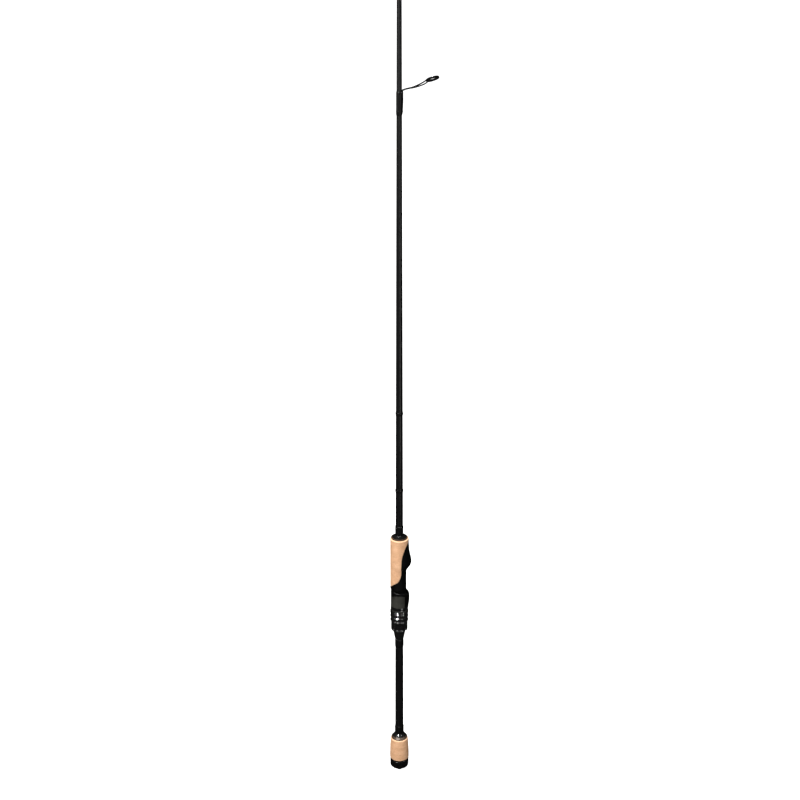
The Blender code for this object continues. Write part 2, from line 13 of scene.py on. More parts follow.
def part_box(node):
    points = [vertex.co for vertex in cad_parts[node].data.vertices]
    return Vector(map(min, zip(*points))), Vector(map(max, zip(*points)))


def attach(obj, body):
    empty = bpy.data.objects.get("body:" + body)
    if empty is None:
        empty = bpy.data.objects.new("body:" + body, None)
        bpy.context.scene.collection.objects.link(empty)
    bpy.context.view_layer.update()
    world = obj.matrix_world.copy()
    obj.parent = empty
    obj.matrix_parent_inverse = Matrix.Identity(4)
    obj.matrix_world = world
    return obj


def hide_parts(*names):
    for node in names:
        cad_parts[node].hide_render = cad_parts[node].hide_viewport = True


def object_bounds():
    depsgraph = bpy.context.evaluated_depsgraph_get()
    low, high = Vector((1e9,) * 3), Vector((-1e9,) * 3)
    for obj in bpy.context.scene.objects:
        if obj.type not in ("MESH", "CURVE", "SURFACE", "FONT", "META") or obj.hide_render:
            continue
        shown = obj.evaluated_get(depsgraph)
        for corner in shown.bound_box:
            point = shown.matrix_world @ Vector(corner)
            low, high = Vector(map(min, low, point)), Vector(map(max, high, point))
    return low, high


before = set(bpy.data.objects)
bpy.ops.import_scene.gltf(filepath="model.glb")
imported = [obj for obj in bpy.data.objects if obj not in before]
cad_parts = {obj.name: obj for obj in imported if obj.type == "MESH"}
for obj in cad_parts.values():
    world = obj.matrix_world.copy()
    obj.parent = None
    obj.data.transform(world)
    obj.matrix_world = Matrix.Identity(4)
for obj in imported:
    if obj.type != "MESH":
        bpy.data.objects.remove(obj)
cad_low, cad_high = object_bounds()

MM = 0.001
TURN = 2.0 * math.pi

# Reel seat, repeated from the part: heights and radii that no single part's box gives
BARREL_RADIUS = 9.8
SEAT_BORE = 7.5
THREAD_TOP = 260.8
THREAD_PITCH = 2.5
FOOT_FLAT_X = 9.3
FOOT_FLAT_END = 314.0
PALM_START = 287.0
PALM_BLEND = 1.2  # height over which the palm swell rises from the barrel
PALM_RADIUS = 11.8
INLAY_FLOOR = 9.1
INLAY_GAP = 0.06  # between the cork's edge and its bed
FIXED_HOOD = (
    (313.0, 9.8), (317.5, 10.9), (320.5, 12.4), (323.5, 14.5), (326.5, 15.6),
    (329.5, 15.9), (334.0, 15.4), (338.5, 14.4), (344.0, 13.3), (356.5, 12.4),
)
HOOD_SHARPNESS = 6.0
POCKET_CUT_START = 305.0
POCKET_END = 333.0
POCKET_CENTRE_X = 8.4
POCKET_RADIUS = 5.6
CORK_EDGE = (
    (-13.0, 291.2), (-11.2, 291.9), (-8.5, 296.0), (-4.75, 299.2), (-2.0, 301.4), (0.3, 304.6),
    (2.0, 309.0), (2.9, 314.0), (2.7, 322.0), (3.2, 333.0), (4.3, 340.0), (6.0, 345.4),
    (8.0, 350.7), (10.0, 354.6), (13.0, 358.0), (19.0, 359.0),
)
CORK_RIM = 1.7  # width of the rounded rim along the cork's edge
CORK_RIM_DROP = 0.8
CORK_FRONT = 1.0  # width of the rounding along its front rim
CORK_FRONT_DROP = 0.85
CORK_HIGHLIGHT_WIDTH = 1.4  # width of the painted highlight along the cork's rims
# the vertex attribute that carries the painted highlight along the cork's rims
RIM_HIGHLIGHT_ATTRIBUTE = "rim"
CHECK_REFLECTION_BAND = 1.7  # width of the brown band at a check's rim, a painted reflection of the nearby cork
CHECK_LEDGE = 0.35
CONE_SLOPE = 0.74  # how fast a check's cone narrows at CONE_GLINT of its height
CONE_GLINT = 0.85

# Sliding hood and nut
HOOD_RADIUS = 11.2
HOOD_LIP_RADIUS = 13.4
HOOD_BORE = 10.1
HOOD_ROOF_X = 12.3
POCKET_START = 270.0
HOOD_LIP_START = 0.965  # share of the height where the hood's mouth rounds over
HOOD_BEADS = (258.0, 260.8)
HOOD_BEAD_RISE = 0.35
COLLAR_BOTTOM = 262.6
COLLAR_TOP = 276.5
COLLAR_WAVE = 4.3
COLLAR_HALF_OPENING = math.radians(50.0)
SKIRT_RADIUS = 11.0
CHAMFER_INSET = 1.9  # the skirt's rounded lower edge
CHAMFER_RISE = 2.2
NUT_FLUTES = 12
FLUTE_BALL = 2.4  # radius of the cutter that leaves a flute
FLUTE_DEPTH = 1.1
FLUTE_START = 4.3  # where the cutter stops, from each end of the skirt
NUT_NECK = 10.6  # the nut's radius under its ring
RING_BORE = 10.7
RING_BASE = 11.2
RING_BEADS = (0.08, 0.43, 0.77, 0.92)  # crests of the ring's beads, as shares of its length
GRIP_RIDGES = 18

# Guides
GUIDE_COUNT = 8
GUIDE_TILT = math.radians(16.0)
GUIDE_RISE = 0.345
RING_SHARE = 0.96  # a packed ceramic ring's radius is this share of its band's, less RING_LESS
RING_LESS = 0.77
STEM_PART = 0.3
ARM_HOLD = math.radians(50.0)
TIP_TILT = math.radians(38.0)
WRAP_SKIN = 0.48  # thread and epoxy over the blank
EPOXY_RAMP = 1.9  # length of a wrap's rounded end
TRIM_BAND = 0.22  # height of a raised band near each guide wrap's toe

# Studio
ROOM_LIGHT = 0.30
ROOM_IN_GLOSS = 0.02


# ---- Measures and curves ----

def span(node):
    """Lowest and highest level of a part, in millimetres."""
    low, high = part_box(node)
    return low.z / MM, high.z / MM


def turned_profile(node, widest=True):
    """(height, radius) pairs of a turned part: its largest or smallest radius at each level."""
    found = {}
    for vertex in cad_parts[node].data.vertices:
        level = round(vertex.co.z / MM, 2)
        radius = math.hypot(vertex.co.x, vertex.co.y) / MM
        if level in found:
            radius = max(found[level], radius) if widest else min(found[level], radius)
        found[level] = radius
    return sorted(found.items())


def interpolate(stations, level):
    if level <= stations[0][0]:
        return stations[0][1]
    for (low, start), (high, end) in zip(stations, stations[1:]):
        if level <= high:
            return start + (end - start) * (level - low) / (high - low)
    return stations[-1][1]


def smooth_through(points, per_span=8):
    """A Catmull-Rom curve through points of any size, ends included."""
    ends = [points[0], *points, points[-1]]
    curve = []
    for a, b, c, d in zip(ends, ends[1:], ends[2:], ends[3:]):
        for step in range(per_span):
            t = step / per_span
            curve.append(tuple(
                0.5 * (2 * q + (r - p) * t + (2 * p - 5 * q + 4 * r - s) * t * t
                       + (3 * q - p - 3 * r + s) * t ** 3)
                for p, q, r, s in zip(a, b, c, d)
            ))
    curve.append(tuple(points[-1]))
    return curve


def evenly(low, high, count):
    """Numbers from low to high in equal steps, both ends included."""
    return [low + (high - low) * i / count for i in range(count + 1)]


def quarter_steps(length, count):
    """Rises along a quarter round, closest together where it is steepest."""
    return [length * (1.0 - math.cos(0.5 * math.pi * i / count)) for i in range(count + 1)]


def clamped(value):
    return min(1.0, max(0.0, value))


def rounding(share):
    """How far a quarter circle of radius 1 has dropped at a share of the way to its edge."""
    return 1.0 - math.sqrt(1.0 - clamped(share) ** 2)


BLANK = turned_profile("blank")
HOOD_CURVE = smooth_through(FIXED_HOOD)
EDGE_CURVE = smooth_through(CORK_EDGE, 10)


def blank_radius(level):
    return interpolate(BLANK, level)


# ---- Mesh helpers ----

def angles(steps):
    return [TURN * i / steps for i in range(steps)]


def polar(radius, angle, level):
    return Vector((radius * math.cos(angle), radius * math.sin(angle), level))


def round_ring(radius, level, steps):
    return [polar(radius, angle, level) for angle in angles(steps)]


def shade(mesh, sharp):
    """Shade smooth, but for edges that turn by more than an angle in degrees."""
    mesh.shade_smooth()
    mesh.set_sharp_from_angle(angle=math.radians(sharp))


def place_object(name, data):
    made = bpy.data.objects.new(name, data)
    bpy.context.scene.collection.objects.link(made)
    return made


def add_piece(name, net, sharp=35.0):
    """Make an object of a bmesh in millimetres."""
    bmesh.ops.scale(net, vec=(MM, MM, MM), verts=net.verts)
    bmesh.ops.recalc_face_normals(net, faces=net.faces)
    mesh = bpy.data.meshes.new(name)
    net.to_mesh(mesh)
    net.free()
    shade(mesh, sharp)
    return place_object(name, mesh)


def lofted(name, rings, bored=False, sharp=35.0):
    """Join rings of points: end to end with caps, or round a bore if bored."""
    net = bmesh.new()
    loops = [[net.verts.new(point) for point in ring] for ring in rings]
    pairs = list(zip(loops, loops[1:]))
    if bored:
        pairs.append((loops[-1], loops[0]))
    for lower, upper in pairs:
        count = len(lower)
        for i in range(count):
            j = (i + 1) % count
            net.faces.new((lower[i], lower[j], upper[j], upper[i]))
    if not bored:
        net.faces.new(loops[0][::-1])
        net.faces.new(loops[-1])
    return add_piece(name, net, sharp)


def filleted(outline, radius, closed=True):
    """Round the corners of an outline, less where an edge is too short."""
    rounded = []
    total = len(outline)
    for i, corner in enumerate(outline):
        if not closed and i in (0, total - 1):
            rounded.append(corner)
            continue
        here = Vector(corner)
        before = Vector(outline[i - 1]) - here
        after = Vector(outline[(i + 1) % total]) - here
        cut = min(radius, 0.42 * before.length, 0.42 * after.length)
        start = here + before.normalized() * cut
        end = here + after.normalized() * cut
        for t in evenly(0.0, 1.0, 4):
            point = start * (1 - t) ** 2 + here * 2 * t * (1 - t) + end * t * t
            rounded.append((point.x, point.y))
    return rounded


def turned(name, outline, steps=72, sharp=35.0):
    """Spin (radius, height) points round Z; an outline that starts on the axis has no bore."""
    net = bmesh.new()
    points = [net.verts.new((radius, 0.0, level)) for radius, level in outline]
    lines = [net.edges.new(pair) for pair in zip(points, points[1:])]
    if outline[0][0] > 0.0:
        lines.append(net.edges.new((points[-1], points[0])))
    bmesh.ops.spin(
        net, geom=points + lines, cent=(0.0, 0.0, 0.0), axis=(0.0, 0.0, 1.0),
        angle=TURN, steps=steps, use_merge=True, use_duplicate=False,
    )
    bmesh.ops.remove_doubles(net, verts=net.verts, dist=0.0005)
    return add_piece(name, net, sharp)


def swept(name, centres, radii, sides=12, flatness=1.0):
    """A round or flattened bar along a path; flatness stretches it across Y."""
    rings = []
    for i, centre in enumerate(centres):
        along = centres[min(i + 1, len(centres) - 1)] - centres[max(i - 1, 0)]
        along.normalize()
        side = Vector((0.0, 1.0, 0.0))
        side = (side - along * side.dot(along)).normalized()
        up = along.cross(side)
        rings.append([
            centre + radii[i] * (math.cos(a) * up + flatness * math.sin(a) * side)
            for a in angles(sides)
        ])
    return lofted(name, rings, sharp=50.0)


def boolean(target, other, operation):
    """Cut or join with another object, keep the result as the target's mesh and drop the other."""
    change = target.modifiers.new(operation.lower(), "BOOLEAN")
    change.operation = operation
    change.solver = "EXACT"
    change.object = other
    shown = target.evaluated_get(bpy.context.evaluated_depsgraph_get())
    mesh = bpy.data.meshes.new_from_object(shown)
    target.modifiers.clear()
    target.data = mesh
    bpy.data.objects.remove(other, do_unlink=True)


def prism_across(name, outline, half_width):
    """An outline of (x, height) points extruded along Y, both ways from the middle."""
    sides = [[Vector((x, y, z)) for x, z in outline] for y in (-half_width, half_width)]
    return lofted(name, sides)


def highlight_strength(distance):
    """Strength of the painted highlight on the cork at a distance from its edge, from 1 down to 0.
    """
    return clamped(1.0 - distance / CORK_HIGHLIGHT_WIDTH) ** 0.5


def mark_rim_highlight(piece, low, high):
    """Mark how near each vertex lies to the bottom or top of a turned grip, for the painted
    highlight along its ends.
    """
    rim = piece.data.attributes.new(RIM_HIGHLIGHT_ATTRIBUTE, "FLOAT", "POINT")
    for vertex, mark in zip(piece.data.vertices, rim.data):
        level = vertex.co.z / MM
        mark.value = highlight_strength(min(level - low, high - level))


def finish_piece(piece, surface, node, body="rod"):
    """Give a piece its material, its body and the part that it stands for."""
    piece.data.materials.clear()
    piece.data.materials.append(surface)
    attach(piece, body)
    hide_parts(node)


def second_surface(piece, surface, chosen):
    """Give another material to the faces whose centres, in metres, are chosen."""
    piece.data.materials.append(surface)
    for face in piece.data.polygons:
        if chosen(face.center):
            face.material_index = 1


# ---- Materials ----

def fill_node(node, inputs):
    """Set a node's inputs by name or number, and link those that are given a socket."""
    for name, value in inputs.items():
        socket = node.inputs[name if isinstance(name, int) else name.replace("_", " ")]
        if isinstance(value, bpy.types.NodeSocket):
            node.id_data.links.new(value, socket)
        else:
            socket.default_value = value


def add_node(tree, kind, **inputs):
    made = tree.nodes.new(f"ShaderNode{kind}")
    fill_node(made, inputs)
    return made


class Surface:
    """A Principled material with short ways to add procedural detail."""

    def __init__(self, name, specular, **inputs):
        self.material = bpy.data.materials.new(name)
        self.material.use_nodes = True
        self.shader = self.material.node_tree.nodes["Principled BSDF"]
        fill_node(self.shader, {"Specular IOR Level": specular, **inputs})
        self.coordinates = self.add("TexCoord").outputs["Object"]

    def add(self, kind, **inputs):
        return add_node(self.material.node_tree, kind, **inputs)

    def stretched(self, along, rotation=(0.0, 0.0, 0.0)):
        """Object coordinates turned and scaled along Z, for a pattern with a direction."""
        scale = (1.0, 1.0, along)
        made = self.add("Mapping", Vector=self.coordinates, Scale=scale, Rotation=rotation)
        return made.outputs["Vector"]

    def noise(self, scale, detail, vector=None, roughness=0.55):
        made = self.add(
            "TexNoise", Vector=vector or self.coordinates, Scale=scale, Detail=detail,
            Roughness=roughness,
        )
        return made.outputs["Fac"]

    def cells(self, scale, vector=None):
        made = self.add("TexVoronoi", Vector=vector or self.coordinates, Scale=scale)
        return made.outputs["Distance"]

    def bands(self, period, distortion=0.0, rotation=(0.0, 0.0, 0.0)):
        """Stripes across Z, a period apart in metres."""
        made = self.add(
            "TexWave", Vector=self.stretched(1.0, rotation),
            Scale=TURN / (20.0 * period), Distortion=distortion,
        )
        made.bands_direction = "Z"
        return made.outputs["Fac"]

    def ramp(self, value, *stops):
        """A colour ramp of (position, colour) stops, where a single number is a grey."""
        made = self.add("ValToRGB", Fac=value)
        line = made.color_ramp
        while len(line.elements) < len(stops):
            line.elements.new(0.5)
        for element, (position, colour) in zip(line.elements, stops):
            element.position = position
            element.color = (*(colour if isinstance(colour, tuple) else (colour,) * 3), 1.0)
        return made.outputs["Color"]

    def mixed(self, share, first, second, blend="MIX"):
        """Blend two colours; each is a socket or a fixed RGBA, and share a socket or a number."""
        made = self.add("Mix")
        made.data_type = "RGBA"
        made.blend_type = blend
        fill_node(made, {0: share, 6: first, 7: second})
        return made.outputs[2]

    def summed(self, first, second, weight):
        """first plus weight times second."""
        made = self.add("Math")
        made.operation = "MULTIPLY_ADD"
        fill_node(made, {0: second, 1: weight, 2: first})
        return made.outputs[0]

    def colour(self, socket):
        fill_node(self.shader, {"Base Color": socket})

    def roughness(self, value, low, high):
        made = self.add("MapRange", Value=value, To_Min=low, To_Max=high)
        fill_node(self.shader, {"Roughness": made.outputs["Result"]})

    def toned(self, pattern, first, last, low, high):
        """Let one pattern drive the colour, between two stops, and the roughness."""
        self.colour(self.ramp(pattern, first, last))
        self.roughness(pattern, low, high)

    def bump(self, height, depth, strength):
        made = self.add("Bump", Height=height, Distance=depth, Strength=strength)
        fill_node(self.shader, {"Normal": made.outputs["Normal"]})


def cork_material(name, shift, tint=1.0):
    """Sanded natural cork: warm mottling, grain cells and dark streaks across the grip, with a
    painted highlight along its rims.
    """
    made = Surface(name, 0.28)
    moved = made.stretched(1.25, (0.0, 0.0, shift))
    patches = made.ramp(
        made.noise(120.0, 5.0, moved),
        (0.28, (0.59 * tint, 0.325 * tint, 0.170 * tint)),
        (0.50, (0.70 * tint, 0.395 * tint, 0.215 * tint)),
        (0.74, (0.78 * tint, 0.470 * tint, 0.275 * tint)),
    )
    grains = made.ramp(made.cells(620.0, moved), (0.0, 0.80), (0.55, 1.0), (0.9, 1.06))
    body = made.mixed(0.7, patches, grains, "MULTIPLY")
    streaks = made.noise(95.0, 6.0, made.stretched(4.2, (0.0, 0.0, shift + 0.7)), 0.6)
    pores = made.ramp(streaks, (0.635, 0.0), (0.69, 1.0))
    specks = made.ramp(made.noise(520.0, 3.0, moved), (0.66, 0.0), (0.72, 1.0))
    marked = made.mixed(made.mixed(0.5, pores, specks, "ADD"), body, (0.26, 0.125, 0.055, 1.0))
    softened = made.mixed(0.62, body, marked)
    # a paler cork colour near the edges: a painted highlight along the rims
    rim = made.add("Attribute")
    rim.attribute_name = RIM_HIGHLIGHT_ATTRIBUTE
    made.colour(made.mixed(rim.outputs["Fac"], softened, (0.78, 0.48, 0.285, 1.0)))
    fine = made.noise(1500.0, 3.0)
    made.roughness(fine, 0.62, 0.84)
    made.bump(made.summed(fine, pores, -1.6), 0.00016, 0.5)
    return made.material


def blank_material():
    """Dark graphite under clear coat: tape-wound grain that climbs the blank."""
    made = Surface("blank_graphite", 0.45, Coat_Weight=0.3, Coat_Roughness=0.12)
    tape = made.bands(0.0042, 1.2, (math.radians(24.0), math.radians(9.0), 0.0))
    fibres = made.noise(900.0, 4.0, made.stretched(0.035))
    made.colour(made.mixed(
        tape, made.ramp(fibres, (0.3, 0.0005), (0.7, (0.003, 0.003, 0.0032))),
        made.ramp(fibres, (0.3, 0.001), (0.7, (0.0048, 0.0048, 0.005))),
    ))
    made.roughness(fibres, 0.24, 0.34)
    made.bump(made.summed(tape, fibres, 0.5), 0.00003, 0.35)
    return made.material


def thread_material():
    """Black thread wound round the blank, level under glossy epoxy."""
    made = Surface(
        "thread_under_epoxy", 0.08, Coat_Weight=0.5, Coat_Roughness=0.04, Coat_IOR=1.5,
    )
    thread = made.bands(0.00032)
    made.toned(thread, (0.2, 0.0008), (0.8, 0.004), 0.32, 0.5)
    made.bump(made.summed(thread, made.noise(160.0, 2.0), 2.0), 0.00003, 0.2)
    return made.material


def mottled_material(name, specular, pattern, first, last, rough, grain=None, **inputs):
    """A noise drives colour and roughness; grain is a finer bump's scale, depth and strength."""
    made = Surface(name, specular, **inputs)
    made.toned(made.noise(*pattern), first, last, *rough)
    if grain:
        made.bump(made.noise(grain[0], 2.0), *grain[1:])
    return made.material


def metal_material(name, dark, light, rough, metallic=1.0):
    """Turned metal with a fine lay and slight tarnish."""
    made = Surface(name, 0.5, Metallic=metallic)
    lay = made.noise(320.0, 3.0, made.stretched(60.0))
    tarnish = made.summed(made.noise(60.0, 4.0), lay, 0.35)
    made.colour(made.ramp(tarnish, (0.45, dark), (0.85, light)))
    made.roughness(lay, rough - 0.05, rough + 0.09)
    made.bump(lay, 0.000012, 0.35)
    return made.material


def anodised_material(name, polish, rough):
    """Black anodised aluminium with turning marks."""
    made = Surface(name, 0.10, Coat_Weight=polish, Coat_Roughness=0.05, Coat_IOR=2.0)
    lay = made.noise(420.0, 3.0, made.stretched(50.0))
    made.toned(lay, (0.3, 0.002), (0.75, (0.007, 0.0066, 0.006)), rough, rough + 0.12)
    made.bump(lay, 0.00001, 0.3)
    return made.material


def foam_material():
    made = Surface("arbor_foam", 0.2)
    cells = made.cells(900.0)
    made.toned(cells, (0.1, (0.13, 0.13, 0.125)), (0.7, (0.27, 0.27, 0.26)), 0.75, 0.95)
    made.bump(cells, 0.0003, 0.8)
    return made.material


CORK = cork_material("seat_cork", 0.0)
GRIP_CORKS = [
    cork_material(f"butt_cork_{place}", shift, tint)
    for place, shift, tint in (("lower", 1.9, 0.93), ("middle", 3.1, 0.96), ("upper", 4.6, 0.94))
]
GRAPHITE = blank_material()
THREAD = thread_material()
NYLON = mottled_material(
    "seat_nylon", 0.10, (70.0, 5.0), (0.35, (0.0006, 0.0006, 0.0007)),
    (0.7, (0.002, 0.002, 0.0022)), (0.34, 0.50), (2600.0, 0.00002, 0.4),
)
RUBBER = mottled_material(
    "butt_rubber", 0.40, (240.0, 6.0), (0.4, 0.0012), (0.75, (0.005, 0.005, 0.0048)),
    (0.18, 0.32), (1800.0, 0.00003, 0.35),
)
POLISHED_NYLON = mottled_material(
    "nut_nylon", 0.5, (90.0, 5.0), (0.35, 0.0008), (0.7, 0.003), (0.14, 0.28),
    (1600.0, 0.00001, 0.3), Coat_Weight=1.0, Coat_Roughness=0.06, Coat_IOR=2.3,
)
CERAMIC = mottled_material(
    "black_ceramic", 0.7, (700.0, 3.0), (0.4, 0.002), (0.7, 0.006), (0.06, 0.14),
    Coat_Weight=0.5, Coat_Roughness=0.03,
)
PALE_FLOOR = mottled_material("pale_floor", 0.0, (0.8, 2.0), (0.3, 0.90), (0.7, 0.92), (0.9, 0.95))
FOAM = foam_material()
ANODISED = anodised_material("black_anodised", 1.0, 0.18)
CHECK_METAL = anodised_material("check_anodised", 0.03, 0.40)
COLLAR_METAL = metal_material(
    "collar_metal", (0.016, 0.016, 0.013), (0.058, 0.058, 0.049), 0.45, 0.6,
)
# brown metal whose colour is a painted reflection of the cork on the checks' rims
CORK_REFLECTION_METAL = metal_material(
    "painted_cork_reflection_band", (0.022, 0.013, 0.007), (0.070, 0.041, 0.022), 0.5, 0.3,
)
GUNMETAL = metal_material("gunmetal", (0.010, 0.010, 0.010), (0.030, 0.030, 0.031), 0.24)


# ---- Blank and butt grip ----

def make_blank():
    """A tapered tube; past its bore's end only a pinhole runs on to the tip."""
    steps = 48
    wall = 1.0
    pinhole = 0.1
    low, high = span("blank")
    bore_top = low + 1300.0
    rings = [round_ring(blank_radius(low) - wall, low, steps)]
    for level in evenly(low, high, 120)[:-1]:
        rings.append(round_ring(blank_radius(level), level, steps))
    rings.append(round_ring(blank_radius(high) - 0.15, high, steps))
    rings += [round_ring(pinhole, high, steps), round_ring(pinhole, bore_top, steps)]
    rings.append(round_ring(blank_radius(bore_top) - wall, bore_top, steps))
    blank = lofted("rod_blank", rings, bored=True)
    finish_piece(blank, GRAPHITE, "blank")


def make_weight_plug():
    """The plug in the blank's butt; returns the radius of its head."""
    low, high = span("butt_weight_plug")
    profile = turned_profile("butt_weight_plug")
    head = interpolate(profile, low + 5.0)
    shank = profile[-2][1] if profile[-1][1] < 1.0 else profile[-1][1]
    shoulder = span("blank")[0] + 0.3
    outline = filleted([
        (0.0, low), (head - 0.4, low), (head, low + 0.4), (head, shoulder),
        (shank, shoulder), (shank, high), (0.0, high),
    ], 0.35, closed=False)
    plug = turned("weight_plug", outline, 64)
    finish_piece(plug, ANODISED, "butt_weight_plug")
    return head


def make_butt_cap(hole):
    """A domed rubber cup with a groove below its lip, and a hole for the plug's head."""
    low, high = span("butt_cap")
    inside = 6.2
    rim = low + 4.1
    edge = interpolate(turned_profile("butt_cap"), high)
    dome = []
    for turn in evenly(0.0, 0.5 * math.pi, 24):
        reach = hole + (edge - 0.1 - hole) * math.sin(turn)
        dome.append((reach, rim - (rim - low) * math.cos(turn)))
    lip = [
        (edge, high - 2.4), (edge - 0.35, high - 2.1), (edge - 0.35, high - 1.6),
        (edge, high - 1.3), (edge, high), (inside, high), (inside, rim), (hole, rim),
    ]
    cap = turned("butt_cap_rubber", dome + filleted(lip, 0.25, closed=False), 96, 50.0)
    finish_piece(cap, RUBBER, "butt_cap")


def make_grip_corks():
    """Three cork rings glued end to end and turned to one belly."""
    bore = 5.9
    low = span("butt_cork_ring_1")[0]
    high = span("butt_cork_ring_3")[1]
    length = high - low
    belly = smooth_through((
        (low, 12.55), (low + 0.6, 12.86), (low + 2.4, 12.9), (low + 0.34 * length, 12.74),
        (low + 0.62 * length, 12.5), (low + 0.82 * length, 12.05), (high - 1.4, 11.62),
        (high - 0.35, 11.3), (high, 10.7),
    ))
    for index, surface in enumerate(GRIP_CORKS):
        start = low + length * index / 3 + (0.02 if index else 0.0)
        end = low + length * (index + 1) / 3
        outline = [(bore, start)]
        outline += [(interpolate(belly, level) - 0.02, level) for level in evenly(start, end, 24)]
        outline.append((bore, end))
        ring = turned(f"grip_cork_{index + 1}", outline, 96, 60.0)
        # mark where the painted highlight falls along the grip's top and bottom
        mark_rim_highlight(ring, low, high)
        finish_piece(ring, surface, f"butt_cork_ring_{index + 1}")


def make_check(name, node, wide):
    """A hollow cone: a short cylinder at the grip, a ledge, then a sweep up to the blank, its rim
    band tinted brown as a painted reflection of the cork.
    """
    low, high = span(node)
    bore = blank_radius(low) + 0.05
    neck = blank_radius(high) + 0.55
    rim = low + 1.1
    reach = wide - CHECK_LEDGE - neck
    bend = (CONE_SLOPE * (high - rim) - reach) / (2.0 * CONE_GLINT - 1.0)
    outline = [(bore, low), (wide - 0.12, low), (wide, low + 0.15), (wide, rim - 0.15)]
    for t in evenly(0.0, 1.0, 14):
        radius = wide - CHECK_LEDGE - (reach - bend) * t - bend * t * t
        outline.append((radius, rim + (high - rim) * t))
    outline += [(neck - 0.2, high), (bore, high)]
    check = turned(name, outline, 96, 40.0)
    finish_piece(check, CHECK_METAL, node)
    # faces near the rim get a brown tint: a painted reflection of the cork
    band = (wide - CHECK_REFLECTION_BAND) * MM
    second_surface(check, CORK_REFLECTION_METAL, lambda centre: centre.xy.length > band)


def make_rear_check():
    low, high = span("rear_seat_check")
    bore = blank_radius(low) + 0.05
    stations = smooth_through((
        (low, bore + 0.45), (low + 6.3, 7.0), (low + 11.3, 7.9), (high, 8.3),
    ))
    outline = [(bore, low)] + [(radius, level) for level, radius in stations] + [(bore, high)]
    cone = turned("seat_end_cone", outline, 72)
    finish_piece(cone, ANODISED, "rear_seat_check")


def wrap_crown(level, low, high):
    """Share of a wrap's full thickness at a level: rounded ends and a flat middle."""
    return 1.0 - rounding(1.0 - min(level - low, high - level) / EPOXY_RAMP)


def wrap_levels(low, high):
    ramp = quarter_steps(EPOXY_RAMP, 6)
    middle = 0.5 * (low + high)
    return [low + step for step in ramp] + [middle] + [high - step for step in ramp[::-1]]


def make_turned_wrap(name, node, circle, crown, steps=64):
    """A round wrap over circle(level), as thick as crown between its rounded ends."""
    start = 0.03
    low, high = span(node)
    outline = []
    for level in wrap_levels(low, high):
        radius = circle(level) + start + (crown - start) * wrap_crown(level, low, high)
        outline.append((radius, level))
    inner = circle(high) - 0.02
    outline += [(inner, high), (inner, low)]
    wrap = turned(name, outline, steps, 60.0)
    finish_piece(wrap, THREAD, node)


# ---- Reel seat ----

def seat_radius(angle, level):
    """Outer radius of the assembled seat, cork included, at an angle from the reel side."""
    toward_reel = 0.5 * (1.0 + math.cos(angle))
    swell = clamped((level - PALM_START) / PALM_BLEND)
    swell = swell * swell * (3.0 - 2.0 * swell)
    palm = BARREL_RADIUS + swell * (PALM_RADIUS - BARREL_RADIUS)
    start = FIXED_HOOD[0][0]
    rise = clamped((level - start) / (FIXED_HOOD[3][0] - start))
    plain = palm + (BARREL_RADIUS - palm) * toward_reel * (1.0 - rise)
    if level < start:
        return plain
    hood = interpolate(HOOD_CURVE, level)
    return plain + max(0.0, hood - plain) * toward_reel ** HOOD_SHARPNESS


def make_inlay_room(steps):
    """The room that the cork takes up: a sleeve, cut off along the cork's edge."""
    low = 280.0
    high = 370.0
    wide = 22.0
    sleeve = lofted("inlay_room", [
        round_ring(wide, low, steps), round_ring(wide, high, steps),
        round_ring(INLAY_FLOOR, high, steps), round_ring(INLAY_FLOOR, low, steps),
    ], bored=True)
    far = 30.0
    above = high + 10.0
    edge = [(x + INLAY_GAP, z - INLAY_GAP) for x, z in EDGE_CURVE]
    region = edge + [(far, edge[-1][1]), (far, above), (-far, above), (-far, edge[0][1])]
    boolean(sleeve, prism_across("cork_side", region, far), "INTERSECT")
    return sleeve


def make_seat_body():
    """Threaded barrel, palm swell and fixed hood, cut for the foot and the cork."""
    steps = 96
    low, high = span("reel_seat_body")
    thread_crest = interpolate(turned_profile("reel_seat_body"), low)
    rings = []
    turns = int((THREAD_TOP - low) / THREAD_PITCH)
    for index in range(turns):
        crest = low + index * THREAD_PITCH
        for rise, depth in ((0.0, 0.1), (0.15, 0.0), (0.9, 0.0), (1.3, 0.6), (2.1, 0.6)):
            rings.append(round_ring(thread_crest - depth, crest + rise, steps))
    top_thread = low + turns * THREAD_PITCH
    rings.append(round_ring(thread_crest, top_thread, steps))
    rings.append(round_ring(BARREL_RADIUS, top_thread + 0.8, steps))
    levels = evenly(PALM_START, PALM_START + PALM_BLEND, 6) + evenly(290.0, 311.0, 7)
    levels += evenly(FIXED_HOOD[0][0], 340.75, 37) + [344.0, 348.0, 352.0, 356.0, 359.0, high]
    for level in levels:
        rings.append([polar(seat_radius(a, level), a, level) for a in angles(steps)])
    rings += [round_ring(SEAT_BORE, high, steps), round_ring(SEAT_BORE, low, steps)]
    body = lofted("seat_body", rings, bored=True)

    start = top_thread + 1.5
    outside = 14.0
    flat = [
        (FOOT_FLAT_X, start), (outside, start), (outside, FOOT_FLAT_END),
        (FOOT_FLAT_X, FOOT_FLAT_END),
    ]
    boolean(body, prism_across("foot_flat", flat, 12.0), "DIFFERENCE")

    opening = math.acos((FOOT_FLAT_X - POCKET_CENTRE_X) / POCKET_RADIUS)
    arch = [
        (POCKET_CENTRE_X + POCKET_RADIUS * math.cos(turn), POCKET_RADIUS * math.sin(turn))
        for turn in evenly(opening, -opening, 40)
    ]
    ends = [[Vector((x, y, z)) for x, y in arch] for z in (POCKET_CUT_START, POCKET_END)]
    boolean(body, lofted("foot_pocket", ends), "DIFFERENCE")

    boolean(body, make_inlay_room(steps), "DIFFERENCE")
    shade(body.data, 32.0)
    finish_piece(body, NYLON, "reel_seat_body")


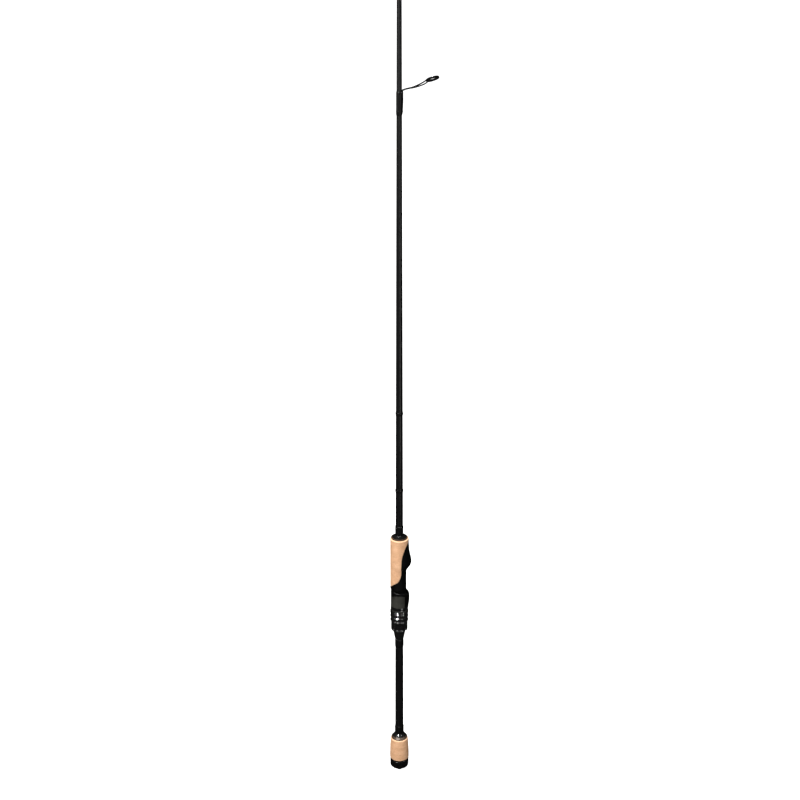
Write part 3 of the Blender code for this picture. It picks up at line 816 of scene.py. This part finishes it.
def edge_on_seat():
    """The cork's edge as (angle, level) points on the seat, from the palm to the reel side."""
    found = []
    for x, level in EDGE_CURVE:
        angle = 1.4  # a first guess, made exact by the loop
        for _ in range(12):
            ratio = x / seat_radius(angle, level)
            angle = math.acos(max(-1.0, min(1.0, ratio)))
        if not found and angle < math.pi - 0.02:
            found.append((math.pi, level - 0.25))
        if 0.03 < angle < math.pi - 0.02:
            found.append((angle, level))
    found.append((0.0, found[-1][1] + 0.9))
    return found


def by_length(points, count):
    """The points of a line, spaced evenly along it."""
    reach = [0.0]
    for a, b in zip(points, points[1:]):
        reach.append(reach[-1] + math.dist(a, b))
    lines = [list(zip(reach, part)) for part in zip(*points)]
    goals = evenly(0.0, reach[-1], count - 1)
    return [tuple(interpolate(line, goal) for line in lines) for goal in goals]


def make_seat_cork():
    """The cork half-shell: rows from its lower edge to the palm line and the front rim."""
    top = span("seat_cork_inlay")[1]
    inner = INLAY_FLOOR + 0.1
    arc = PALM_RADIUS
    edge = [(angle * arc, level) for angle, level in edge_on_seat()]
    count = 150
    near = by_length(edge, count)
    corner = (math.pi * arc, top)
    seam = top - near[0][1]
    on_seam = round(count * seam / (seam + corner[0]))
    far = by_length([near[0], corner], on_seam)
    far += by_length([corner, (0.0, top)], count - on_seam + 1)[1:]
    nearest = kdtree.KDTree(len(near) * 4)
    for i, point in enumerate(by_length(edge, len(near) * 4)):
        nearest.insert((*point, 0.0), i)
    nearest.balance()

    shares = [0.0, 0.006, 0.014, 0.025, 0.04, 0.06, 0.085, 0.12, 0.17, 0.23, 0.3]
    shares += [0.38, 0.46, 0.54, 0.62, 0.70, 0.77, 0.83, 0.88, 0.92, 0.95, 0.97, 0.985, 1.0]
    net = bmesh.new()
    # strength of the painted highlight along the cork's edge and front rim
    highlight_layer = net.verts.layers.float.new(RIM_HIGHLIGHT_ATTRIBUTE)
    for side in (-1.0, 1.0):
        outer_rows = []
        inner_rows = []
        for start, end in zip(near, far):
            outer_row = []
            inner_row = []
            for share in shares:
                along = start[0] + (end[0] - start[0]) * share
                level = start[1] + (end[1] - start[1]) * share
                angle = along / arc
                gap = nearest.find((along, level, 0.0))[2]
                ahead = top - level
                drop = CORK_RIM_DROP * rounding(1.0 - gap / CORK_RIM)
                drop += CORK_FRONT_DROP * rounding(1.0 - ahead / CORK_FRONT)
                radius = seat_radius(angle, level) - drop
                outer_row.append(net.verts.new(polar(radius, side * angle, level)))
                outer_row[-1][highlight_layer] = highlight_strength(min(gap, ahead))
                inner_row.append(net.verts.new(polar(inner, side * angle, level)))
            outer_rows.append(outer_row)
            inner_rows.append(inner_row)
        for rows in (outer_rows, inner_rows):
            for a, b in zip(rows, rows[1:]):
                for j in range(len(shares) - 1):
                    net.faces.new((a[j], a[j + 1], b[j + 1], b[j]))
        for i in range(count - 1):
            a, b, c, d = outer_rows[i], outer_rows[i + 1], inner_rows[i + 1], inner_rows[i]
            net.faces.new((a[0], b[0], c[0], d[0]))
            if min(far[i][1], far[i + 1][1]) >= top - 1e-6:
                net.faces.new((a[-1], b[-1], c[-1], d[-1]))
    bmesh.ops.remove_doubles(net, verts=net.verts, dist=0.002)
    bmesh.ops.dissolve_degenerate(net, edges=net.edges, dist=0.001)
    cork = add_piece("seat_cork", net, 60.0)
    finish_piece(cork, CORK, "seat_cork_inlay")


# ---- Sliding hood and nut ----

def bead_height(above):
    """Share of a bead's height: it rises steeply from below and slopes back above its crest."""
    if above < 0.0:
        return math.sqrt(max(0.0, 1.0 - (above / 0.5) ** 2))
    return max(0.0, 1.0 - 0.6 * above - 0.18 * above * above)


def hood_outline(share, steps, low, high):
    """The hood's outline at a share of its height; its mouth is lower on the reel's side."""
    profile = ((0.0, 0.0), (0.35, 0.75), (0.55, 1.0), (0.8, 1.0), (0.92, 0.75), (1.0, 0.3))
    points = []
    for angle in angles(steps):
        toward_reel = 0.5 * (1.0 + math.cos(angle))
        mouth = high - 3.0 * toward_reel
        bulge = interpolate(profile, share) * toward_reel ** HOOD_SHARPNESS
        radius = HOOD_RADIUS + bulge * (HOOD_LIP_RADIUS - HOOD_RADIUS)
        if share > HOOD_LIP_START:
            radius -= 0.5 * ((share - HOOD_LIP_START) / (1.0 - HOOD_LIP_START)) ** 2
        level = low + share * (mouth - low)
        if level < COLLAR_BOTTOM:
            radius += HOOD_BEAD_RISE * max(bead_height(level - bead) for bead in HOOD_BEADS)
        points.append(polar(radius, angle, level))
    return points


def collar_sections(gap, outer, inner):
    """Sections of the collar round the hood, open on the reel side and grown by a gap."""
    start = COLLAR_HALF_OPENING - gap / 10.0  # radians, at a radius of about 10 mm
    low = COLLAR_BOTTOM - gap
    sections = []
    for angle in evenly(start, TURN - start, 120):
        top = COLLAR_TOP + COLLAR_WAVE * math.sin(angle) ** 2 + gap
        sections.append([
            polar(outer, angle, low), polar(outer, angle, top),
            polar(inner, angle, top), polar(inner, angle, low),
        ])
    return sections


def make_hood():
    steps = 96
    low, high = span("moving_hood")
    band = (COLLAR_BOTTOM - low) / (high - low)
    shares = evenly(0.0, band, 30)[:-1] + evenly(band, HOOD_LIP_START, 26)[:-1]
    shares += [0.975, 0.985, 0.995, 1.0]
    rings = [hood_outline(share, steps, low, high) for share in shares]
    mouth = [polar(HOOD_BORE, math.atan2(p.y, p.x), p.z) for p in rings[-1]]
    rings += [mouth, round_ring(HOOD_BORE, low, steps)]
    hood = lofted("sliding_hood", rings, bored=True)
    floor = FOOT_FLAT_X - 1.0
    above = high + 6.0
    roof = [
        (floor, POCKET_START), (HOOD_ROOF_X - 0.9, POCKET_START), (HOOD_ROOF_X, above),
        (floor, above),
    ]
    boolean(hood, prism_across("hood_pocket", roof, 4.8), "DIFFERENCE")
    recess = collar_sections(0.08, 14.0, HOOD_RADIUS - 0.5)
    boolean(hood, lofted("collar_recess", recess), "DIFFERENCE")
    shade(hood.data, 32.0)
    finish_piece(hood, NYLON, "moving_hood", "hood")
    second_surface(hood, POLISHED_NYLON, lambda centre: centre.z < (COLLAR_BOTTOM - 0.1) * MM)


def make_collar():
    sections = collar_sections(0.0, HOOD_RADIUS + 0.08, HOOD_RADIUS - 0.45)
    collar = lofted("grey_collar", sections)
    edge = collar.modifiers.new("edge", "BEVEL")
    edge.width = 0.00012
    edge.segments = 2
    edge.limit_method = "ANGLE"
    finish_piece(collar, COLLAR_METAL, "hood_collar", "hood")


def make_washer():
    low, high = span("nut_thrust_washer")
    bore = interpolate(turned_profile("nut_thrust_washer", widest=False), low)
    rim = interpolate(turned_profile("nut_thrust_washer"), low)
    outline = filleted([(bore, low), (rim, low), (rim, high), (bore, high)], 0.2)
    washer = turned("thrust_washer", outline, 72)
    finish_piece(washer, COLLAR_METAL, "nut_thrust_washer", "hood")


def flute_depth(angle, above, length):
    """Depth of the skirt's ball-ended flutes, at a height above its lower edge."""
    pitch = TURN / NUT_FLUTES
    across = SKIRT_RADIUS * abs(math.remainder(angle - 0.5 * pitch, pitch))
    beyond = max(FLUTE_START - above, above - length + FLUTE_START, 0.0)
    off = min(FLUTE_BALL, math.hypot(across, beyond))
    return max(0.0, math.sqrt(FLUTE_BALL ** 2 - off ** 2) - FLUTE_BALL + FLUTE_DEPTH)


def make_nut():
    low, high = span("locking_nut")
    ring_low = span("nut_grip_ring")[0]
    bore = interpolate(turned_profile("locking_nut", widest=False), low)
    steps = NUT_FLUTES * 18
    end = ring_low - low - 0.1
    rises = quarter_steps(CHAMFER_RISE, 8)
    rises += evenly(CHAMFER_RISE + 0.2, CHAMFER_RISE + 2.6, 12) + [6.5, 8.0]
    rises += evenly(end - 4.4, end, 22)
    rings = []
    for rise in rises:
        inset = CHAMFER_INSET * rounding(1.0 - rise / CHAMFER_RISE)
        rings.append([
            polar(SKIRT_RADIUS - inset - flute_depth(angle, rise, end), angle, low + rise)
            for angle in angles(steps)
        ])
    rings += [round_ring(NUT_NECK, ring_low - 0.1, steps), round_ring(NUT_NECK, high, steps)]
    rings += [round_ring(bore, high, steps), round_ring(bore, low + 0.4, steps)]
    nut = lofted("nut_body", rings, bored=True)
    finish_piece(nut, POLISHED_NYLON, "locking_nut", "nut")


def make_grip_ring():
    """A ring of rounded beads round the nut, knurled between the middle two."""
    low, high = span("nut_grip_ring")
    steps = GRIP_RIDGES * 10
    rings = []
    for share in evenly(0.0, 1.0, 110):
        level = low + share * (high - low)
        crest = max(bead_height(level - low - place * (high - low)) for place in RING_BEADS)
        knurl_zone = clamped(min(share - 0.49, 0.73 - share) / 0.05)
        edge = 0.3 * clamped(1.0 - min(share, 1.0 - share) / 0.03)
        points = []
        for angle in angles(steps):
            lay = 0.5 + 0.5 * math.cos(GRIP_RIDGES * angle + 7.0 * share)
            bead = crest * (0.80 + 0.12 * lay) + knurl_zone * 0.45 * lay ** 1.5
            points.append(polar(RING_BASE + bead - edge, angle, level))
        rings.append(points)
    rings += [round_ring(RING_BORE, high, steps), round_ring(RING_BORE, low, steps)]
    grip = lofted("nut_ring", rings, bored=True, sharp=50.0)
    finish_piece(grip, ANODISED, "nut_grip_ring", "nut")


# ---- Guides ----

def ring_measures(node):
    """Centre distance, level and band radius of a guide's ring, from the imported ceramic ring."""
    low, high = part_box(node)
    x = 0.5 * (low.x + high.x) / MM
    level = 0.5 * (low.z + high.z) / MM
    outer = 0.5 * (high.y - low.y) / MM
    return x, level, (outer + RING_LESS) / RING_SHARE


def make_ring(prefix, tilt):
    """The rounded metal band, returned for its frame, and the polished ceramic ring in it."""
    x, level, band_radius = ring_measures(f"{prefix}_ring")
    wall = 0.45 + 0.04 * band_radius
    deep = 0.35 + 0.09 * band_radius
    band_inner = band_radius - wall
    steps = 96 if band_radius > 7.0 else 64
    section = filleted([
        (band_inner, -deep), (band_radius, -deep), (band_radius, deep), (band_inner, deep),
    ], 0.45 * wall)
    band = turned(f"{prefix}_wire", section, steps, 50.0)

    outer = band_inner - 0.04
    thick = 0.58 + 0.19 * band_radius
    inner = outer - thick
    bulge = deep + 0.33
    section = []
    for angle in angles(20):
        square = 0.82 if math.cos(angle) > 0.0 else 1.0
        section.append((
            0.5 * (inner + outer) + 0.5 * thick * math.cos(angle),
            square * bulge * math.sin(angle),
        ))
    ring = turned(f"{prefix}_ceramic", section, steps, 60.0)
    place = Matrix.Translation((x * MM, 0.0, level * MM)) @ Matrix.Rotation(-tilt, 4, "Y")
    for piece in (band, ring):
        piece.data.transform(place)
    finish_piece(ring, CERAMIC, f"{prefix}_ring")
    return band


def bent(points):
    """A smooth path through a few points."""
    return [Vector(point) for point in smooth_through(points, 6)]


def foot_taper(share):
    """Thickness of a guide's foot at a share of its length from the toe."""
    return 0.3 + 0.7 * clamped(share / 0.5) ** 0.8


def foot_sections(low, high, inner, thickness, half_width):
    """A guide foot that thins and narrows towards its toe, with a crowned back."""
    sections = []
    for share in evenly(0.0, 1.0, 16):
        level = low + (high - low) * share
        wide = half_width * (0.5 + 0.5 * clamped(share / 0.45) ** 0.6)
        points = []
        for turn in evenly(0.0, math.pi, 8):
            back = inner + thickness * foot_taper(share) * (0.55 + 0.45 * math.sin(turn))
            points.append(Vector((back, -wide * math.cos(turn), level)))
        points += [Vector((inner, wide, level)), Vector((inner, -wide, level))]
        sections.append(points)
    return sections


def wrap_outline(circle, foot_x, half_width):
    """Taut outline round the blank and a foot on its +X side, as (angle, radius) pairs."""
    steps = 56
    if foot_x <= circle:
        return [(angle, circle) for angle in angles(steps)]
    corner = math.atan2(half_width, foot_x)
    reach = math.hypot(half_width, foot_x)
    tangent = corner + math.acos(min(1.0, circle / reach))
    outline = []
    for angle in angles(steps):
        off = abs(math.remainder(angle, TURN))
        if off <= corner:
            radius = foot_x / math.cos(off)
        elif off < tangent:
            radius = circle / math.cos(tangent - off)
        else:
            radius = circle
        outline.append((angle, radius))
    return outline


def make_guide_wrap(prefix, foot_low, foot_high, inner, thickness, half_width):
    """Thread over a guide's foot, from bare blank at its toe up to the stem."""
    low, high = span(f"{prefix}_wrap")
    outside = []
    inside = []
    ramps = wrap_levels(low, high)
    middle = evenly(low + EPOXY_RAMP, high - EPOXY_RAMP, 48)[1:-1]
    for level in ramps[:7] + middle + ramps[8:]:
        taper = foot_taper((level - foot_low) / (foot_high - foot_low))
        cover = clamped((level - foot_low + 1.6) / 1.6)
        circle = blank_radius(level)
        back = circle + cover * (inner + thickness * taper - circle)
        wide = half_width * (0.45 + 0.4 * cover)
        trim = math.exp(-((level - low - 0.16 * (high - low)) / 0.75) ** 2)
        skin = 0.03 + (WRAP_SKIN - 0.05) * wrap_crown(level, low, high) + TRIM_BAND * trim
        outline = wrap_outline(circle, back, wide)
        outside.append([polar(radius + skin, angle, level) for angle, radius in outline])
        inside.append([polar(circle - 0.02, angle, level) for angle, _ in outline])
    wrap = lofted(f"{prefix}_thread", outside + inside[::-1], bored=True, sharp=60.0)
    finish_piece(wrap, THREAD, f"{prefix}_wrap")


def weld_frame(band, pieces, node):
    """Join a frame's foot and bars to its band."""
    for piece in pieces:
        boolean(band, piece, "UNION")
    shade(band.data, 50.0)
    finish_piece(band, GUNMETAL, node)


def make_arms(points, radii):
    """Two mirrored arms through (x, y, height) points, with radii(share) along them."""
    arms = []
    for side in (-1.0, 1.0):
        path = bent([(x, side * y, z) for x, y, z in points])
        arms.append(swept("arm", path, [radii(i / len(path)) for i in range(len(path))]))
    return arms


def make_guide(number):
    prefix = f"guide_{number}"
    band = make_ring(prefix, GUIDE_TILT)
    ring_x, ring_z, band_radius = ring_measures(f"{prefix}_ring")
    foot_low = span(f"{prefix}_frame")[0]
    foot_high = ring_z - GUIDE_RISE * ring_x
    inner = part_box(f"{prefix}_frame")[0].x / MM - 0.25
    thickness = 0.55 + 0.0118 * ring_x
    half_width = 0.7 + 0.035 * ring_x
    foot = lofted("foot", foot_sections(foot_low, foot_high, inner, thickness, half_width))

    wire = 0.42 + 0.016 * ring_x
    split_x = inner + STEM_PART * (ring_x - inner - 0.4 * band_radius)
    split_z = foot_high + 0.25 * (split_x - inner)
    middle = inner + 0.25 * thickness
    stem_path = bent([
        (middle, 0.0, foot_high - 3.0 - 1.5 * wire), (middle + 0.15, 0.0, foot_high - 0.6),
        (inner + 2.2 * wire, 0.0, foot_high + 0.5),
        (0.5 * (inner + split_x), 0.0, 0.5 * (foot_high + split_z) + 0.2),
        (split_x + 0.8 * wire, 0.0, split_z + 0.2),
    ])
    count = len(stem_path)
    radii = [wire * (0.55 + 0.45 * min(1.0, i / (0.35 * count))) for i in range(count)]
    stem = swept("stem", stem_path, radii, 16, 1.5)

    reach = band_radius + 0.12 * wire
    end_x = ring_x - reach * math.cos(ARM_HOLD) * math.cos(GUIDE_TILT)
    end_z = ring_z - reach * math.cos(ARM_HOLD) * math.sin(GUIDE_TILT)
    end_y = reach * math.sin(ARM_HOLD)
    arms = make_arms([
        (split_x - 1.3 * wire, 0.25 * wire, split_z - 0.35 * wire),
        (0.82 * split_x + 0.18 * end_x, 0.3 * end_y, 0.9 * split_z + 0.1 * end_z),
        (0.5 * (split_x + end_x), 0.6 * end_y, 0.65 * split_z + 0.35 * end_z),
        (0.2 * split_x + 0.8 * end_x, 0.9 * end_y, 0.33 * split_z + 0.67 * end_z),
        (end_x, end_y, end_z),
    ], lambda share: 0.9 * wire * (1.0 - 0.15 * share))
    weld_frame(band, [foot, stem, *arms], f"{prefix}_frame")
    make_guide_wrap(prefix, foot_low, foot_high, inner, thickness, half_width)


def make_tip_top():
    """A ring on two arms and a bridge, over a tube that closes round the blank's tip."""
    band = make_ring("tip_top", TIP_TILT)
    ring_x, ring_z, band_radius = ring_measures("tip_top_ring")
    low = span("tip_top_frame")[0]
    high = span("blank")[1] + 1.2
    bore = blank_radius(low) + 0.05
    shell = bore + 0.45
    outline = [(0.0, high - 0.6), (bore, high - 0.6), (bore, low), (shell - 0.12, low)]
    outline.append((shell, low + 0.15))
    for turn in evenly(0.5 * math.pi, 0.0, 8):
        outline.append((shell * math.sin(turn), high - 0.9 + 1.7 * math.cos(turn)))
    tube = turned("tube", outline, 48)
    arms = make_arms([
        (0.2, shell + 0.1, high - 6.5), (0.3, shell + 0.18, high - 4.0), (0.9, 2.35, high - 0.5),
        (0.5 * ring_x, 0.92 * band_radius, 0.45 * high + 0.55 * ring_z),
        (ring_x - 0.1, band_radius + 0.12, ring_z),
    ], lambda share: 0.45 - 0.08 * share)
    hold = band_radius - 0.15
    path = bent([
        (0.1, 0.0, high - 0.2), (0.35, 0.0, high + 3.3),
        (ring_x - hold * math.cos(TIP_TILT), 0.0, ring_z - hold * math.sin(TIP_TILT) - 0.1),
    ])
    bridge = swept("bridge", path, [0.42] * len(path))
    weld_frame(band, [tube, *arms, bridge], "tip_top_frame")
    make_turned_wrap("tip_top_thread", "tip_top_wrap", lambda level: shell, 0.38, 48)


# ---- Stage ----

def make_camera():
    data = bpy.data.cameras.new("camera")
    data.lens = 80.8
    data.sensor_width = 36.0
    data.clip_start = 0.05
    data.clip_end = 200.0
    camera = place_object("camera", data)
    camera.location = (0.0009, -2.05, 1.494)
    camera.rotation_euler = (math.radians(65.5), 0.0, 0.0)
    bpy.context.scene.camera = camera


def add_softbox(name, place, level, width, height, power, lights_matt=True, spread=180.0):
    """A lamp aimed at a level of the rod, for matt surfaces only or for gloss only."""
    data = bpy.data.lights.new(name, "AREA")
    data.shape = "RECTANGLE"
    data.size = width
    data.size_y = height
    data.energy = power
    data.spread = math.radians(spread)
    lamp = place_object(name, data)
    lamp.location = place
    lamp.visible_diffuse = lights_matt
    lamp.visible_glossy = not lights_matt
    aim = Vector((0.0, 0.0, level)) - Vector(place)
    lamp.rotation_euler = aim.to_track_quat("-Z", "Y").to_euler()


def make_floor():
    net = bmesh.new()
    bmesh.ops.create_grid(net, x_segments=8, y_segments=8, size=60.0)
    mesh = bpy.data.meshes.new("floor")
    net.to_mesh(mesh)
    net.free()
    mesh.materials.append(PALE_FLOOR)
    floor = place_object("floor", mesh)
    floor.location.z = cad_low.z - 0.0002
    floor.visible_glossy = False
    floor.visible_diffuse = False


def make_world():
    """Even light, a white backdrop, and a darker room in gloss, so the black parts stay black."""
    world = bpy.data.worlds.new("studio")
    world.use_nodes = True
    tree = world.node_tree
    path = add_node(tree, "LightPath").outputs
    strength = add_node(
        tree, "MapRange", Value=path["Is Glossy Ray"], To_Min=ROOM_LIGHT, To_Max=ROOM_IN_GLOSS,
    ).outputs["Result"]
    backdrop = add_node(tree, "MapRange", Value=path["Is Camera Ray"], To_Min=strength)
    fill_node(tree.nodes["Background"], {
        "Strength": backdrop.outputs["Result"], "Color": (1.0, 1.0, 1.0, 1.0),
    })
    bpy.context.scene.world = world


def make_lights():
    """A sun without shadows, one matt key, two panels and two small lamps seen in gloss only."""
    sun = bpy.data.lights.new("overhead", "SUN")
    sun.energy = 3.8
    sun.angle = math.radians(40.0)
    sun.use_shadow = False
    place_object("overhead", sun).visible_glossy = False
    add_softbox("key", (-1.1, -2.2, 2.2), 0.5, 0.5, 0.5, 100.0)
    add_softbox("left_panel", (-1.23, -0.86, 1.15), 1.15, 0.3, 1.3, 3.2, False)
    add_softbox("right_panel", (0.5, -0.85, 0.45), 0.45, 0.15, 0.9, 1.2, False)
    add_softbox("glint_left", (-0.98, -2.2, 1.9), 0.3, 0.22, 0.22, 30.0, False, 60.0)
    add_softbox("glint_right", (1.9, -1.5, 1.6), 0.3, 0.15, 0.15, 2.5, False, 60.0)


def make_stage():
    make_floor()
    make_world()
    make_lights()
    view = bpy.context.scene.view_settings
    view.view_transform = "Standard"
    view.look = "None"


def main():
    make_camera()
    make_stage()
    make_blank()
    make_butt_cap(make_weight_plug() + 0.06)
    make_grip_corks()
    make_check("grip_cone", "butt_grip_check", 11.0)
    make_check("seat_front_cone", "front_winding_check", 10.8)
    make_rear_check()
    for node in (
        "rear_handle_wrap_lower", "rear_handle_wrap_upper", "front_handle_wrap",
        "trim_wrap_lower", "trim_wrap_upper",
    ):
        make_turned_wrap(f"{node}_thread", node, blank_radius, WRAP_SKIN)
    make_seat_body()
    make_seat_cork()
    make_hood()
    make_collar()
    make_washer()
    make_nut()
    make_grip_ring()
    for number in range(1, GUIDE_COUNT + 1):
        make_guide(number)
    make_tip_top()
    for place in ("rear", "middle", "front"):
        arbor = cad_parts[f"seat_arbor_{place}"]
        arbor.data.materials.clear()
        arbor.data.materials.append(FOAM)


main()
